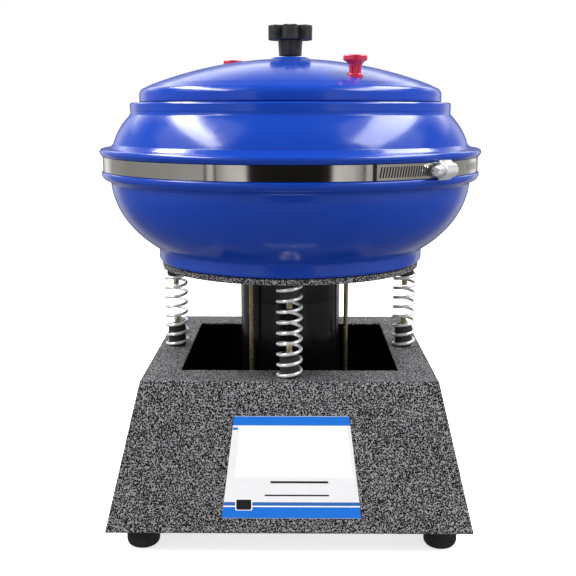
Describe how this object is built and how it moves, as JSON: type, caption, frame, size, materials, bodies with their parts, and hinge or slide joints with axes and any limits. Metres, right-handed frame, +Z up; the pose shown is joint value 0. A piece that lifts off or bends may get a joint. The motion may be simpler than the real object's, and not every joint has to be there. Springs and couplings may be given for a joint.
{
  "type": "vibratory rock tumbler",
  "caption": "Vibratory tumbler: round two-piece bowl with a domed lid on coil springs, motor hung below, over a tapered sheet-steel base.",
  "frame": {"origin": "on the floor, under the bowl's axis", "axes": "+Z up along the bowl's axis; the labelled front faces -Y"},
  "size_m": [0.3338, 0.3338, 0.4236],
  "materials": {
    "hammertone_paint": "satin",
    "black_rubber": "matte",
    "label_vinyl": "satin",
    "black_plastic": "satin",
    "chromed_spring_steel": "polished",
    "yellow_zinc": "satin",
    "motor_paint": "gloss",
    "laminations": "matte",
    "plain_steel": "satin",
    "blue_plastic": "satin",
    "stainless": "polished",
    "red_anodised": "gloss"
  },
  "bodies": {
    "base": {"base_housing": "hammertone_paint", "bottom_cover": "hammertone_paint", "foot_front_left": "black_rubber", "foot_front_right": "black_rubber", "foot_back_left": "black_rubber", "foot_back_right": "black_rubber", "front_label": "label_vinyl", "power_inlet": "black_plastic", "switch_body": "black_plastic", "lower_bumper_front": "black_rubber", "lower_bumper_right": "black_rubber", "lower_bumper_back": "black_rubber", "lower_bumper_left": "black_rubber", "lower_stud_front": "yellow_zinc", "lower_stud_right": "yellow_zinc", "lower_stud_back": "yellow_zinc", "lower_stud_left": "yellow_zinc", "spring_front": "chromed_spring_steel", "spring_right": "chromed_spring_steel", "spring_back": "chromed_spring_steel", "spring_left": "chromed_spring_steel"},
    "rocker": {"switch_rocker": "black_plastic"},
    "platform": {"platform_plate": "hammertone_paint", "upper_bumper_front": "black_rubber", "upper_bumper_right": "black_rubber", "upper_bumper_back": "black_rubber", "upper_bumper_left": "black_rubber", "upper_stud_front": "yellow_zinc", "upper_stud_right": "yellow_zinc", "upper_stud_back": "yellow_zinc", "upper_stud_left": "yellow_zinc", "motor_top_cap": "motor_paint", "motor_housing": "motor_paint", "motor_bottom_cap": "motor_paint", "stator": "laminations", "upper_bearing": "plain_steel", "lower_bearing": "plain_steel", "tie_rod_front": "yellow_zinc", "tie_rod_right": "yellow_zinc", "tie_rod_back": "yellow_zinc", "bowl_lower": "blue_plastic", "bowl_upper": "blue_plastic", "bowl_gasket": "black_rubber", "clamp_band": "stainless", "clamp_housing": "stainless", "centre_rod": "plain_steel", "bowl_washer": "plain_steel", "bowl_nut": "plain_steel"},
    "rotor": {"motor_shaft": "plain_steel", "rotor_core": "laminations", "eccentric_weight_upper": "plain_steel", "eccentric_weight_lower": "plain_steel"},
    "worm": {"clamp_screw": "stainless"},
    "lid": {"lid": "blue_plastic", "lid_gasket": "black_rubber"},
    "knob_carrier": {"knob_insert": "yellow_zinc"},
    "knob": {"star_knob": "black_plastic"},
    "plug_front": {"vent_plug_front": "red_anodised"},
    "plug_back": {"vent_plug_back": "red_anodised"}
  },
  "joints": [
    {"name": "platform_bounce", "type": "slide", "parent": "base", "child": "platform", "axis": [0, 0, 1], "range_m": [-0.008, 0.004], "stiffness_N_per_m": 45800, "springref_m": 0.002, "deforming": ["spring_front", "spring_right", "spring_back", "spring_left"]},
    {"name": "motor_spin", "type": "hinge", "parent": "platform", "child": "rotor", "pos_m": [0, 0, 0.12], "axis": [0, 0, 1], "continuous": true},
    {"name": "lid_lift", "type": "slide", "parent": "platform", "child": "lid", "axis": [0, 0, 1], "range_m": [0, 0.15]},
    {"name": "knob_rise", "type": "slide", "parent": "lid", "child": "knob_carrier", "axis": [0, 0, 1], "range_m": [0, 0.011]},
    {"name": "knob_turn", "type": "hinge", "parent": "knob_carrier", "child": "knob", "pos_m": [0, 0, 0.41], "axis": [0, 0, 1], "range_deg": [0, 3960]},
    {"name": "plug_front_pull", "type": "slide", "parent": "lid", "child": "plug_front", "axis": [0, 0, 1], "range_m": [0, 0.03]},
    {"name": "plug_back_pull", "type": "slide", "parent": "lid", "child": "plug_back", "axis": [0, 0, 1], "range_m": [-0.005, 0.025]},
    {"name": "clamp_screw_turn", "type": "hinge", "parent": "platform", "child": "worm", "pos_m": [0.12063, -0.12063, 0.30655], "axis": [0.7071, 0.7071, 0], "continuous": true},
    {"name": "switch_rock", "type": "hinge", "parent": "base", "child": "rocker", "pos_m": [-0.055, 0.13632, 0.06215], "axis": [1, 0, 0], "range_deg": [0, 14]}
  ],
  "couplings": [
    {"joint": "knob_rise", "follows": "knob_turn", "m_per_rad": 0.00015915}
  ]
}
